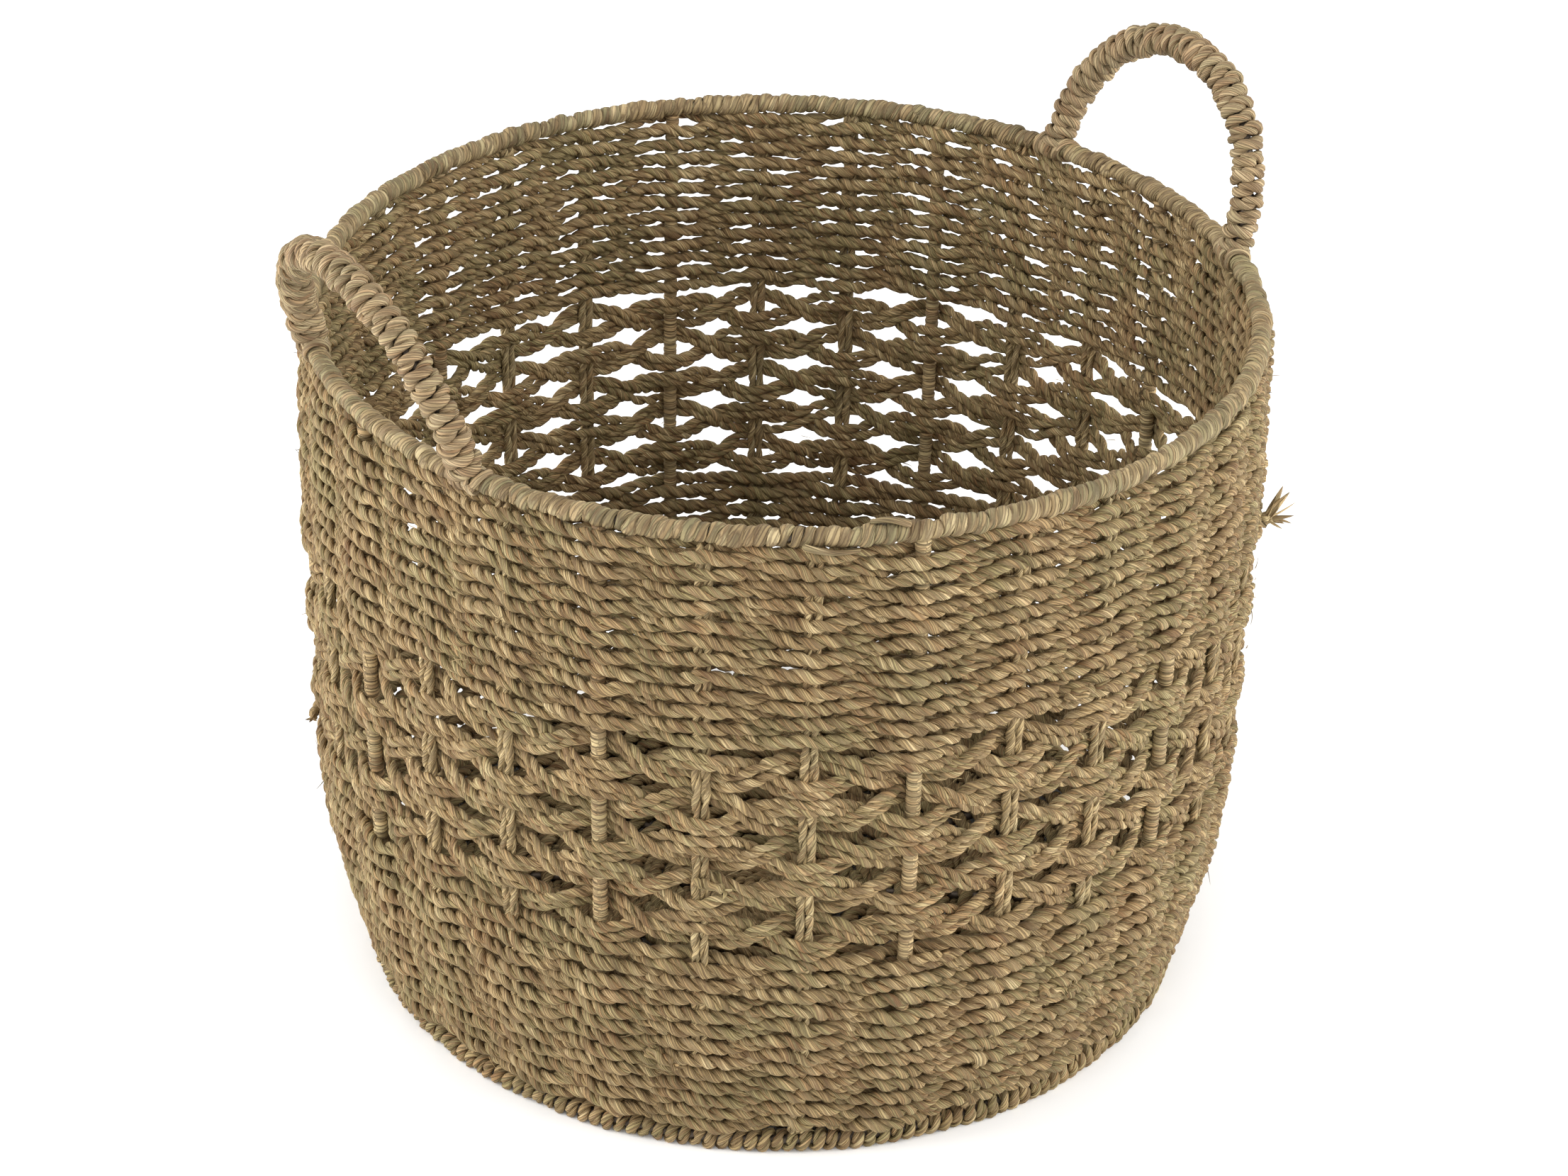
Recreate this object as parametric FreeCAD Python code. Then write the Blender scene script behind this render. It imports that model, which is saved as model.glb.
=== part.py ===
import FreeCAD, Part
import math
import os

# Seagrass storage basket: an iron wire frame, wrapped and woven with two-ply seagrass rope.
# Millimetres. +Z is up. The origin is the centre of the footprint, on the table.
# The two handles stand over -X and +X.

# Driving dimensions
RIM_RADIUS = 196.0          # centreline of the rim ring
RIM_HEIGHT = 304.0          # centreline of the rim ring above the table
WAIST_RADIUS = 195.5        # mid-wall radius where the wall starts to tuck in
WAIST_HEIGHT = 95.0
WALL_BEND = 2400.0          # radius of the wall's slight bulge above the waist
TUCK_BEND = 230.0           # radius of the tuck below it
FLARE_HEIGHT = 50.0         # the wall runs straight from here down to the base ring

RIM_WIRE = 4.0              # wire diameters
UPRIGHT_WIRE = 3.5
HANDLE_WIRE = 5.0
RIM_WRAP = 8.2              # diameters over the seagrass wrap
BASE_WRAP = 9.6
UPRIGHT_WRAP = 5.8
HANDLE_WRAP = 14.0
CORD = 3.0                  # one cord of an upright cord pair
ROPE = 3.4                  # weaving rope, squeezed between its neighbours
FIT = 0.1                   # gap between a wire and its wrap

UPRIGHTS = 30               # every third one, from +X on, is a wrapped wire, the others are cord pairs
WIRE_UPRIGHTS = UPRIGHTS // 3
UPRIGHT_STEP = 360.0 / UPRIGHTS

UPPER_ROWS = 24             # plain weave under the rim
UPPER_TOP = 296.6
UPPER_BOTTOM = 216.4
LATTICE_LEVELS = 6          # heights at which the open band's strands bunch up
LATTICE_TOP = 209.6
LATTICE_STEP = 18.6
LATTICE_ROPE = 3.2          # a little thinner, because four of them pass between uprights
STRAND_PITCH = 3.9          # between the two ropes of a strand
LOWER_ROWS = 24             # plain weave above the base
LOWER_TOP = 110.8
LOWER_BOTTOM = 14.6

BASE_LEVEL = 6.6            # mid-height of the woven floor
BASE_ROW_PITCH = 4.6
BASE_OUTER_ROW = 169.5
BASE_INNER_ROW = 34.0
BASE_COIL_RADIUS = 27.0
BASE_SPLIT_RADIUS = 84.0    # the cord spokes start outside this radius

HANDLE_HALF_SPAN = 63.0
HANDLE_RISE = 69.5          # from the rim's centreline to the top of the arch, along the arch's plane
HANDLE_LEAN = 17.0          # degrees outward
HANDLE_WRAP_START = 6.0     # along the leg, from the rim's centreline
LASHING_WIDTH = 9.0
LASHING_THICKNESS = 1.2

LOOSE_END_ANGLE = 323.0
LOOSE_END_HEIGHT = 205.0
LOOSE_END_LENGTH = 16.0
LOOSE_END_START = 10.0      # outside the mid-wall
LOOSE_END_CLIMB = 6.4       # from its root to its tip
LOOSE_END_TIP = 1.1         # diameter

BASE_RING_HEIGHT = 4.2      # below the wrap's radius, so that the wrap stands on a flat ring
CLEARANCE = 0.3             # between pieces that pass each other
BEND_SHARE = 0.3            # bend radius over the distance between a rope's turning points
DIP_ANGLE = 0.26 * UPRIGHT_STEP     # where a rope of the open band passes through the wall
DIP_CLIMB = 0.74                    # and the share of its climb it has made there

# The wall's profile: both curves touch the same tangent at the waist
CHORD_LEAN = math.atan2(RIM_RADIUS - WAIST_RADIUS, RIM_HEIGHT - WAIST_HEIGHT)
HALF_CHORD = 0.5 * math.hypot(RIM_RADIUS - WAIST_RADIUS, RIM_HEIGHT - WAIST_HEIGHT)
CHORD_DEPTH = math.sqrt(WALL_BEND ** 2 - HALF_CHORD ** 2)
WALL_CENTRE_RADIUS = 0.5 * (RIM_RADIUS + WAIST_RADIUS) - CHORD_DEPTH * math.cos(CHORD_LEAN)
WALL_CENTRE_HEIGHT = 0.5 * (RIM_HEIGHT + WAIST_HEIGHT) + CHORD_DEPTH * math.sin(CHORD_LEAN)
TUCK_CENTRE_RADIUS = WAIST_RADIUS + (WALL_CENTRE_RADIUS - WAIST_RADIUS) * TUCK_BEND / WALL_BEND
TUCK_CENTRE_HEIGHT = WAIST_HEIGHT + (WALL_CENTRE_HEIGHT - WAIST_HEIGHT) * TUCK_BEND / WALL_BEND
FLARE_LEAN = math.asin((TUCK_CENTRE_HEIGHT - FLARE_HEIGHT) / TUCK_BEND)
RIM_LEAN = math.asin((WALL_CENTRE_HEIGHT - RIM_HEIGHT) / WALL_BEND)


def wall_radius(z):
    """Mid-wall radius at height z: a straight flare, a curve that tucks in and a slight bulge."""
    if z >= WAIST_HEIGHT:
        return WALL_CENTRE_RADIUS + math.sqrt(WALL_BEND ** 2 - (WALL_CENTRE_HEIGHT - z) ** 2)
    if z >= FLARE_HEIGHT:
        return TUCK_CENTRE_RADIUS + math.sqrt(TUCK_BEND ** 2 - (TUCK_CENTRE_HEIGHT - z) ** 2)
    return wall_radius(FLARE_HEIGHT) - (FLARE_HEIGHT - z) * math.tan(FLARE_LEAN)


BASE_RADIUS = wall_radius(BASE_RING_HEIGHT)     # centreline of the base ring


def polar(radius, angle, z):
    """Point at an angle in degrees around the basket's axis."""
    a = math.radians(angle)
    return FreeCAD.Vector(radius * math.cos(a), radius * math.sin(a), z)


def spaced(first, last, count):
    return [first + (last - first) * i / (count - 1) for i in range(count)]


def round_bar(edges, diameter, closed=False):
    """Solid of round section along lines and arcs that run on smoothly from each other."""
    start = edges[0].valueAt(edges[0].FirstParameter)
    along = edges[0].tangentAt(edges[0].FirstParameter)
    first = Part.Circle(start, along, diameter / 2).toShape()
    section = first.copy()
    faces = []
    for edge in edges:
        moved = section.copy()
        if isinstance(edge.Curve, Part.Circle):
            turn = math.degrees(edge.LastParameter - edge.FirstParameter)
            faces.append(section.revolve(edge.Curve.Center, edge.Curve.Axis, turn))
            moved.rotate(edge.Curve.Center, edge.Curve.Axis, turn)
        else:
            step = edge.valueAt(edge.LastParameter) - edge.valueAt(edge.FirstParameter)
            faces.append(section.extrude(step))
            moved.translate(step)
        section = moved
    if not closed:
        faces += [Part.Face(Part.Wire([first])), Part.Face(Part.Wire([section]))]
    shell = Part.Shell(faces)
    shell.sewShape()
    solid = Part.Solid(shell)
    if solid.Volume < 0:
        solid.reverse()
    return solid


def tube(edges, diameter, bore):
    return round_bar(edges, diameter).cut(round_bar(edges, bore))


def closed_rope(points, diameter):
    """Closed rope that passes through the points, in straight runs with rounded bends."""
    count = len(points)
    ways = [(points[(i + 1) % count] - points[i]).normalize() for i in range(count)]
    corners = []
    for i in range(count):
        half = 0.5 * ways[i - 1].getAngle(ways[i])
        bend = BEND_SHARE * (points[i] - points[i - 1]).Length
        outward = (ways[i - 1] - ways[i]).normalize()
        corners.append(points[i] + outward * (bend / math.cos(half) - bend))
    arcs = []
    for i in range(count):
        bend = BEND_SHARE * (points[i] - points[i - 1]).Length
        way_in = (corners[i] - corners[i - 1]).normalize()
        way_out = (corners[(i + 1) % count] - corners[i]).normalize()
        half = 0.5 * way_in.getAngle(way_out)
        setback = bend * math.tan(half)
        middle = corners[i] + (way_out - way_in).normalize() * (bend / math.cos(half) - bend)
        arcs.append(Part.Arc(corners[i] - way_in * setback, middle, corners[i] + way_out * setback).toShape())
    edges = []
    for i in range(count):
        after = arcs[(i + 1) % count]
        leave = arcs[i].valueAt(arcs[i].LastParameter)
        edges += [arcs[i], Part.LineSegment(leave, after.valueAt(after.FirstParameter)).toShape()]
    return round_bar(edges, diameter, closed=True)


def turned(shape, angle):
    copy = shape.copy()
    copy.rotate(FreeCAD.Vector(0, 0, 0), FreeCAD.Vector(0, 0, 1), angle)
    return copy


def wire_angles():
    return [i * 3 * UPRIGHT_STEP for i in range(WIRE_UPRIGHTS)]


def cord_angles():
    return [a + k * UPRIGHT_STEP for a in wire_angles() for k in (1, 2)]


# Frame of iron wire

def rim_wire():
    return [Part.makeTorus(RIM_RADIUS, RIM_WIRE / 2).translate(FreeCAD.Vector(0, 0, RIM_HEIGHT))]


def base_ring_wire():
    return [Part.makeTorus(BASE_RADIUS, RIM_WIRE / 2).translate(FreeCAD.Vector(0, 0, BASE_RING_HEIGHT))]


def wall_edges(bottom, top, sideways=0.0):
    """Line and two curves up the middle of the wall, in the XZ plane, moved along Y."""
    heights = (bottom, FLARE_HEIGHT, 0.5 * (FLARE_HEIGHT + WAIST_HEIGHT), WAIST_HEIGHT,
               0.5 * (WAIST_HEIGHT + top), top)
    foot, flare, tuck, waist, bulge, head = [FreeCAD.Vector(wall_radius(z), sideways, z) for z in heights]
    return [Part.LineSegment(foot, flare).toShape(), Part.Arc(flare, tuck, waist).toShape(),
            Part.Arc(waist, bulge, head).toShape()]


def upright_wires():
    """Ten wires that stand end-on between the base ring and the rim ring."""
    gap = RIM_WIRE / 2 + FIT / 2
    wire = round_bar(wall_edges(BASE_RING_HEIGHT + gap, RIM_HEIGHT - gap), UPRIGHT_WIRE)
    return [turned(wire, a) for a in wire_angles()]


def base_spoke_wires():
    """Ten wires under the floor, from the centre knot to the base ring."""
    inner = BASE_COIL_RADIUS + CLEARANCE
    outer = BASE_RADIUS - RIM_WIRE / 2 - FIT
    spoke = Part.makeCylinder(UPRIGHT_WIRE / 2, outer - inner, FreeCAD.Vector(inner, 0, BASE_LEVEL),
                              FreeCAD.Vector(1, 0, 0))
    return [turned(spoke, a) for a in wire_angles()]


# Wraps and uprights of seagrass

def rim_wrap():
    """Wrap on the rim ring, pierced where the ten wires and the handles' four legs meet the ring."""
    bore = RIM_WIRE / 2 + FIT
    wrap = Part.makeTorus(RIM_RADIUS, RIM_WRAP / 2).cut(Part.makeTorus(RIM_RADIUS, bore))
    wrap.translate(FreeCAD.Vector(0, 0, RIM_HEIGHT))
    down = FreeCAD.Vector(-math.sin(RIM_LEAN), 0, -math.cos(RIM_LEAN))
    wire_hole = Part.makeCylinder(UPRIGHT_WIRE / 2 + FIT, RIM_WRAP, FreeCAD.Vector(RIM_RADIUS, 0, RIM_HEIGHT),
                                  down)
    holes = [turned(wire_hole, a) for a in wire_angles()] + leg_holes() + half_turned(leg_holes())
    return [wrap.cut(holes)]


def base_ring_wrap():
    """Wrap on the base ring, flattened underneath where the basket stands on it."""
    bore = RIM_WIRE / 2 + FIT
    wrap = Part.makeTorus(BASE_RADIUS, BASE_WRAP / 2).cut(Part.makeTorus(BASE_RADIUS, bore))
    wrap.translate(FreeCAD.Vector(0, 0, BASE_RING_HEIGHT))
    size = 2.0 * (BASE_RADIUS + BASE_WRAP)
    below = Part.makeBox(size, size, BASE_WRAP, FreeCAD.Vector(-size / 2, -size / 2, -BASE_WRAP))
    up_hole = Part.makeCylinder(UPRIGHT_WIRE / 2 + FIT, BASE_WRAP,
                                FreeCAD.Vector(BASE_RADIUS, 0, BASE_RING_HEIGHT),
                                FreeCAD.Vector(math.sin(FLARE_LEAN), 0, math.cos(FLARE_LEAN)))
    spoke_hole = Part.makeCylinder(UPRIGHT_WIRE / 2 + FIT, BASE_WRAP,
                                   FreeCAD.Vector(BASE_RADIUS - BASE_WRAP, 0, BASE_LEVEL),
                                   FreeCAD.Vector(1, 0, 0))
    holes = [turned(hole, a) for a in wire_angles() for hole in (up_hole, spoke_hole)]
    return [wrap.cut([below] + holes)]


def upright_wire_wraps():
    bottom = BASE_RING_HEIGHT + BASE_WRAP / 2 + CLEARANCE
    top = RIM_HEIGHT - RIM_WRAP / 2 - LASHING_THICKNESS - CLEARANCE
    wrap = tube(wall_edges(bottom, top), UPRIGHT_WRAP, UPRIGHT_WIRE + 2 * FIT)
    return [turned(wrap, a) for a in wire_angles()]


def cord_uprights():
    """Twenty pairs of cords, side by side."""
    bottom = BASE_RING_HEIGHT + BASE_WRAP / 2 + CLEARANCE
    top = RIM_HEIGHT - RIM_WRAP / 2 - LASHING_THICKNESS - CLEARANCE
    offset = CORD / 2 + FIT / 2
    pair = [round_bar(wall_edges(bottom, top, side), CORD) for side in (-offset, offset)]
    return [turned(cord, a) for a in cord_angles() for cord in pair]


def base_spoke_cords():
    """Pairs of cords that carry the outer rows of the floor between the wire spokes."""
    outer = BASE_RADIUS - BASE_WRAP / 2 - CLEARANCE
    offset = CORD / 2 + FIT / 2
    cords = []
    for angle in cord_angles():
        for side in (-offset, offset):
            cord = Part.makeCylinder(CORD / 2, outer - BASE_SPLIT_RADIUS,
                                     FreeCAD.Vector(BASE_SPLIT_RADIUS, side, BASE_LEVEL),
                                     FreeCAD.Vector(1, 0, 0))
            cords.append(turned(cord, angle))
    return cords


def base_centre_coil():
    """The tight coil of rope that the floor starts from."""
    height = 2.0 * ROPE
    coil = Part.makeCylinder(BASE_COIL_RADIUS, height, FreeCAD.Vector(0, 0, BASE_LEVEL - height / 2))
    return [coil.makeFillet(ROPE / 2, [e for e in coil.Edges if e.Closed])]


# Woven ropes

def over_distance(upright, extra):
    """How far a rope's centreline stands off the mid-wall where it passes an upright."""
    half_upright = UPRIGHT_WRAP / 2 if upright % 3 == 0 else CORD / 2
    return half_upright + ROPE / 2 + extra


def wall_row(z, first_side):
    """One turn of plain weave: over one upright, under the next."""
    points = []
    for upright in range(UPRIGHTS):
        side = first_side if upright % 2 == 0 else -first_side
        radius = wall_radius(z) + side * over_distance(upright, 2 * CLEARANCE)
        points.append(polar(radius, upright * UPRIGHT_STEP, z))
    return closed_rope(points, ROPE)


def wall_band(top, bottom, rows):
    heights = spaced(top, bottom, rows)
    return [wall_row(z, 1 if i % 2 == 0 else -1) for i, z in enumerate(heights)]


def upper_weave_ropes():
    return wall_band(UPPER_TOP, UPPER_BOTTOM, UPPER_ROWS)


def lower_weave_ropes():
    return wall_band(LOWER_TOP, LOWER_BOTTOM, LOWER_ROWS)


def lattice_rope(level, side, lift):
    """A rope of the open band. It stays on one side of every upright and zigzags between two
    levels. Between uprights it dips through the wall, where the other side's ropes cross it."""
    middle = LATTICE_TOP - (level + 0.5) * LATTICE_STEP + lift
    climb = 0.5 * LATTICE_STEP - STRAND_PITCH - CLEARANCE
    slack = 4 * CLEARANCE
    dip = 0.5 * (ROPE + CLEARANCE)
    points = []
    for upright in range(UPRIGHTS):
        angle = upright * UPRIGHT_STEP
        up = side * (1 if (upright + level) % 2 == 1 else -1)
        high = middle + up * climb
        bend = middle + DIP_CLIMB * up * climb
        outer = polar(wall_radius(high) + side * over_distance(upright, slack), angle, high)
        before = polar(wall_radius(bend) - side * dip, angle - DIP_ANGLE, bend)
        after = polar(wall_radius(bend) - side * dip, angle + DIP_ANGLE, bend)
        points += [before, outer, after]
    return closed_rope(points, LATTICE_ROPE)


def lattice_strands(side):
    """Strands of two ropes, one strand between each two levels."""
    return [lattice_rope(level, side, lift)
            for level in range(LATTICE_LEVELS - 1)
            for lift in (-STRAND_PITCH / 2, STRAND_PITCH / 2)]


def lattice_outer_strands():
    return lattice_strands(1)


def lattice_inner_strands():
    return lattice_strands(-1)


def floor_row(radius, spokes, first_side):
    """One turn of the floor: over one spoke, under the next."""
    over = UPRIGHT_WIRE / 2 + ROPE / 2 + CLEARANCE
    points = []
    for spoke in range(spokes):
        side = first_side if spoke % 2 == 0 else -first_side
        points.append(polar(radius, 360.0 * spoke / spokes, BASE_LEVEL + side * over))
    return closed_rope(points, ROPE)


def base_weave_ropes():
    rows = int((BASE_OUTER_ROW - BASE_INNER_ROW) / BASE_ROW_PITCH)
    ropes = []
    for i, radius in enumerate(spaced(BASE_OUTER_ROW, BASE_INNER_ROW, rows)):
        spokes = UPRIGHTS if radius > BASE_SPLIT_RADIUS else WIRE_UPRIGHTS
        ropes.append(floor_row(radius, spokes, 1 if i % 2 == 0 else -1))
    return ropes


# Handles

HANDLE_UP = FreeCAD.Vector(math.sin(math.radians(HANDLE_LEAN)), 0, math.cos(math.radians(HANDLE_LEAN)))
HANDLE_FOOT = FreeCAD.Vector(math.sqrt(RIM_RADIUS ** 2 - HANDLE_HALF_SPAN ** 2), 0, RIM_HEIGHT)
FOOT_ANGLE = math.degrees(math.asin(HANDLE_HALF_SPAN / RIM_RADIUS))


def half_turned(shapes):
    return [turned(shape, 180.0) for shape in shapes]


def leg_holes():
    """Room for the legs of the handle over +X, through whatever is round the rim ring."""
    across = FreeCAD.Vector(0, HANDLE_HALF_SPAN, 0)
    return [Part.makeCylinder(HANDLE_WIRE / 2 + FIT, HANDLE_WRAP, foot, HANDLE_UP)
            for foot in (HANDLE_FOOT - across, HANDLE_FOOT + across)]


def handle_edges(start):
    """Arch over +X in a plane that leans outward. Its legs start this far along from the rim's
    centreline."""
    across = FreeCAD.Vector(0, HANDLE_HALF_SPAN, 0)
    centre = HANDLE_FOOT + HANDLE_UP * (HANDLE_RISE - HANDLE_HALF_SPAN)
    top = HANDLE_FOOT + HANDLE_UP * HANDLE_RISE
    shoulder = HANDLE_HALF_SPAN * math.sin(math.radians(45))
    side = FreeCAD.Vector(0, shoulder, 0)
    foot = HANDLE_FOOT + HANDLE_UP * start
    return [Part.LineSegment(foot - across, centre - across).toShape(),
            Part.Arc(centre - across, centre - side + HANDLE_UP * shoulder, top).toShape(),
            Part.Arc(top, centre + side + HANDLE_UP * shoulder, centre + across).toShape(),
            Part.LineSegment(centre + across, foot + across).toShape()]


def handle_wire():
    return [round_bar(handle_edges(RIM_WIRE / 2 + FIT), HANDLE_WIRE)]


def handle_wrap():
    return [tube(handle_edges(HANDLE_WRAP_START), HANDLE_WRAP, HANDLE_WIRE + 2 * FIT)]


def handle_lashings():
    """Two sleeves of wound strand on the rim, where a handle's legs stand on it."""
    half = 0.5 * math.degrees(LASHING_WIDTH / RIM_RADIUS)
    edge = Part.Arc(*[polar(RIM_RADIUS, a, RIM_HEIGHT) for a in (-half, 0.0, half)]).toShape()
    sleeve = tube([edge], RIM_WRAP + 2 * LASHING_THICKNESS, RIM_WRAP + 2 * FIT)
    return [turned(sleeve, side * FOOT_ANGLE).cut(leg_holes()) for side in (-1, 1)]


def loose_rope_end():
    """The end of a weaving rope, left sticking out of the wall."""
    start = wall_radius(LOOSE_END_HEIGHT) + LOOSE_END_START
    root = polar(start, LOOSE_END_ANGLE, LOOSE_END_HEIGHT)
    tip = polar(start + LOOSE_END_LENGTH, LOOSE_END_ANGLE, LOOSE_END_HEIGHT + LOOSE_END_CLIMB)
    return [Part.makeCone(ROPE / 2, LOOSE_END_TIP / 2, (tip - root).Length, root, tip - root)]


PARTS = {
    "rim_wire": rim_wire(),
    "base_ring_wire": base_ring_wire(),
    "upright_wires": upright_wires(),
    "base_spoke_wires": base_spoke_wires(),
    "rim_wrap": rim_wrap(),
    "base_ring_wrap": base_ring_wrap(),
    "upright_wire_wraps": upright_wire_wraps(),
    "cord_uprights": cord_uprights(),
    "base_spoke_cords": base_spoke_cords(),
    "base_centre_coil": base_centre_coil(),
    "upper_weave_ropes": upper_weave_ropes(),
    "lattice_outer_strands": lattice_outer_strands(),
    "lattice_inner_strands": lattice_inner_strands(),
    "lower_weave_ropes": lower_weave_ropes(),
    "base_weave_ropes": base_weave_ropes(),
    "right_handle_wire": handle_wire(),
    "right_handle_wrap": handle_wrap(),
    "right_handle_lashings": handle_lashings(),
    "left_handle_wire": half_turned(handle_wire()),
    "left_handle_wrap": half_turned(handle_wrap()),
    "left_handle_lashings": half_turned(handle_lashings()),
    "loose_rope_end": loose_rope_end(),
}

os.makedirs("parts", exist_ok=True)
for node, solids in PARTS.items():
    Part.makeCompound(solids).exportStep("parts/" + node + ".step")
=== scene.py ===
import math

import bpy
import numpy as np
from mathutils import Matrix, Vector


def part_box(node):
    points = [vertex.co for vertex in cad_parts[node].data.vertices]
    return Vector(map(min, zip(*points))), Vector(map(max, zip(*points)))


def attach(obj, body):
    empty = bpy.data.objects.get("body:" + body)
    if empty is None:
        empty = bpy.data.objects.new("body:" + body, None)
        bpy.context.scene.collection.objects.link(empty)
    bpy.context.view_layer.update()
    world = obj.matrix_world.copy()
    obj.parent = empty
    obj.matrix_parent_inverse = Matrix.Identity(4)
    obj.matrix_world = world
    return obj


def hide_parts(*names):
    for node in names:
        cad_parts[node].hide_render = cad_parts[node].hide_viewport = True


# The seagrass basket's looks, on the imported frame. Lengths are in metres.

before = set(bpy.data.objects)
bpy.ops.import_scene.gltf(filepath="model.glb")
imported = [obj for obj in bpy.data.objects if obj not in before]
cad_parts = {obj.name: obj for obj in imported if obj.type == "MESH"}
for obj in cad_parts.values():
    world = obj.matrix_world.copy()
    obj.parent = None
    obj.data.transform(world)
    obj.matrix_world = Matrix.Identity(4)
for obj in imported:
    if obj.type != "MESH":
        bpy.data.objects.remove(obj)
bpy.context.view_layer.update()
random = np.random.default_rng(31)

MM = 0.001
STEP = 1.4 * MM     # along a rope
SIDES = 7               # round one ply
TWIST = 14 * MM                              # one full turn of a rope's two plies
UPRIGHTS = 30                                # every third one is a wire, from +X on
WIRE_STEP = 3

PLAIN_ROPE = 6.1 * MM
LOWER_ROPE = 6.9 * MM                        # below the open band, and in the floor
LATTICE_ROPE = 4.9 * MM
CAD_ROPE = 3.4 * MM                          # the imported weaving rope
CORD = 4.0 * MM                              # one cord of an upright pair
CORD_TWIST = 20 * MM
PLY_REACH = 0.23                             # a ply's middle off the rope's, over the rope's diameter
PLY_TALL = 0.27                              # half a ply's thickness outward, over the same
PLY_WIDE = 0.36                              # and sideways

PLAIN_ROWS = 24                              # in each of the two plain bands
ROWS_PER_PIECE = 6
LATTICE_LEVELS = 6                           # heights at which the open band's strands bunch up
STRAND_PITCH = 4.1 * MM                      # between the two ropes of a strand of the open band
FLOOR_ROWS = 29
FLOOR_ROWS_OUTSIDE = 10                      # of those, in the outer piece
COIL_PITCH = 5.2 * MM
SPLIT_RADIUS = 84 * MM                       # the floor's cord spokes start outside this radius

STRIP_WIDTH = 3.4 * MM                       # visible width of the strip wound round a wire upright
STRIP_RADIUS = 2.8 * MM
STRIP_LAP = 0.5 * MM
RIM_LEAD, RIM_WINDING = 4.4 * MM, 2.75 * MM  # between turns, and the radius of a turn's middle
BASE_CORD, BASE_LEAD, BASE_WINDING = 5.0 * MM, 5.5 * MM, 3.1 * MM
HANDLE_CORD, HANDLE_LEAD, HANDLE_WINDING = 6.4 * MM, 5.9 * MM, 4.8 * MM
HANDLE_TWIST = 19 * MM
HANDLE_WIRE = 5.0 * MM
LASHING_LOOPS = 6                            # at each foot of a handle
LASHING_PITCH = 2.4 * MM

STREAKS = (2200, 2200, 70)                   # fine streaks per metre, across and along a strand
LEAF_STRIPS = (750, 750, 42)                 # leaf strips per metre, the same way
STRAY_FIBRES = 320
ROPE_STUBS = 14


# Places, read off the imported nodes

def ring_of(node):
    """Radius and height of the centreline of a ring that lies flat."""
    low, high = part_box(node)
    return high.x - (high.z - low.z) / 2, (high.z + low.z) / 2


RIM_RADIUS, RIM_HEIGHT = ring_of("rim_wire")
BASE_RADIUS, BASE_HEIGHT = ring_of("base_ring_wire")
WAIST_RADIUS = 195.5 * MM
WAIST_HEIGHT = 95 * MM
WALL_BEND = 2400 * MM
TUCK_BEND = 230 * MM
FLARE_HEIGHT = 50 * MM
CHORD_LEAN = math.atan2(RIM_RADIUS - WAIST_RADIUS, RIM_HEIGHT - WAIST_HEIGHT)
HALF_CHORD = 0.5 * math.hypot(RIM_RADIUS - WAIST_RADIUS, RIM_HEIGHT - WAIST_HEIGHT)
CHORD_DEPTH = math.sqrt(WALL_BEND ** 2 - HALF_CHORD ** 2)
WALL_CENTRE_RADIUS = 0.5 * (RIM_RADIUS + WAIST_RADIUS) - CHORD_DEPTH * math.cos(CHORD_LEAN)
WALL_CENTRE_HEIGHT = 0.5 * (RIM_HEIGHT + WAIST_HEIGHT) + CHORD_DEPTH * math.sin(CHORD_LEAN)
TUCK_CENTRE_RADIUS = WAIST_RADIUS + (WALL_CENTRE_RADIUS - WAIST_RADIUS) * TUCK_BEND / WALL_BEND
TUCK_CENTRE_HEIGHT = WAIST_HEIGHT + (WALL_CENTRE_HEIGHT - WAIST_HEIGHT) * TUCK_BEND / WALL_BEND
FLARE_LEAN = math.asin((TUCK_CENTRE_HEIGHT - FLARE_HEIGHT) / TUCK_BEND)


def wall_radius(z):
    """Mid-wall radius at heights z: a straight flare, a curve that tucks in and a slight bulge."""
    bulge = WALL_CENTRE_RADIUS + np.sqrt(WALL_BEND ** 2 - (WALL_CENTRE_HEIGHT - z) ** 2)
    bent = np.clip(z, FLARE_HEIGHT, WAIST_HEIGHT)
    tuck = TUCK_CENTRE_RADIUS + np.sqrt(TUCK_BEND ** 2 - (TUCK_CENTRE_HEIGHT - bent) ** 2)
    flared = tuck - np.maximum(FLARE_HEIGHT - z, 0) * math.tan(FLARE_LEAN)
    return np.where(z >= WAIST_HEIGHT, bulge, flared)


def wall_slope(z):
    """How far the wall's outward normal dips below the horizon, in radians."""
    bulge = np.arcsin((WALL_CENTRE_HEIGHT - z) / WALL_BEND)
    tuck = np.arcsin((TUCK_CENTRE_HEIGHT - np.clip(z, FLARE_HEIGHT, WAIST_HEIGHT)) / TUCK_BEND)
    return np.where(z >= WAIST_HEIGHT, bulge, tuck)


def on_wall(angle, z, offset):
    """Points off the middle of the wall by offset, and the wall's outward normals there."""
    dip = wall_slope(z)
    radius = wall_radius(z) + offset * np.cos(dip)
    points = np.stack([radius * np.cos(angle), radius * np.sin(angle), z - offset * np.sin(dip)], 1)
    normals = np.stack([np.cos(dip) * np.cos(angle), np.cos(dip) * np.sin(angle), -np.sin(dip)], 1)
    return points, normals


# Strands

def unit(v):
    """The vectors of v at length 1."""
    return v / np.linalg.norm(v, axis=-1, keepdims=True)


def wander(count, waves, size):
    """A smooth random line that closes on itself. It has up to waves waves, and size is their spread."""
    top = min(waves, count // 2 - 1) + 1
    spectrum = np.zeros(count // 2 + 1, complex)
    spectrum[1:top] = random.normal(size=top - 1) + 1j * random.normal(size=top - 1)
    line = np.fft.irfft(spectrum, count)
    return size * line / line.std()


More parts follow.
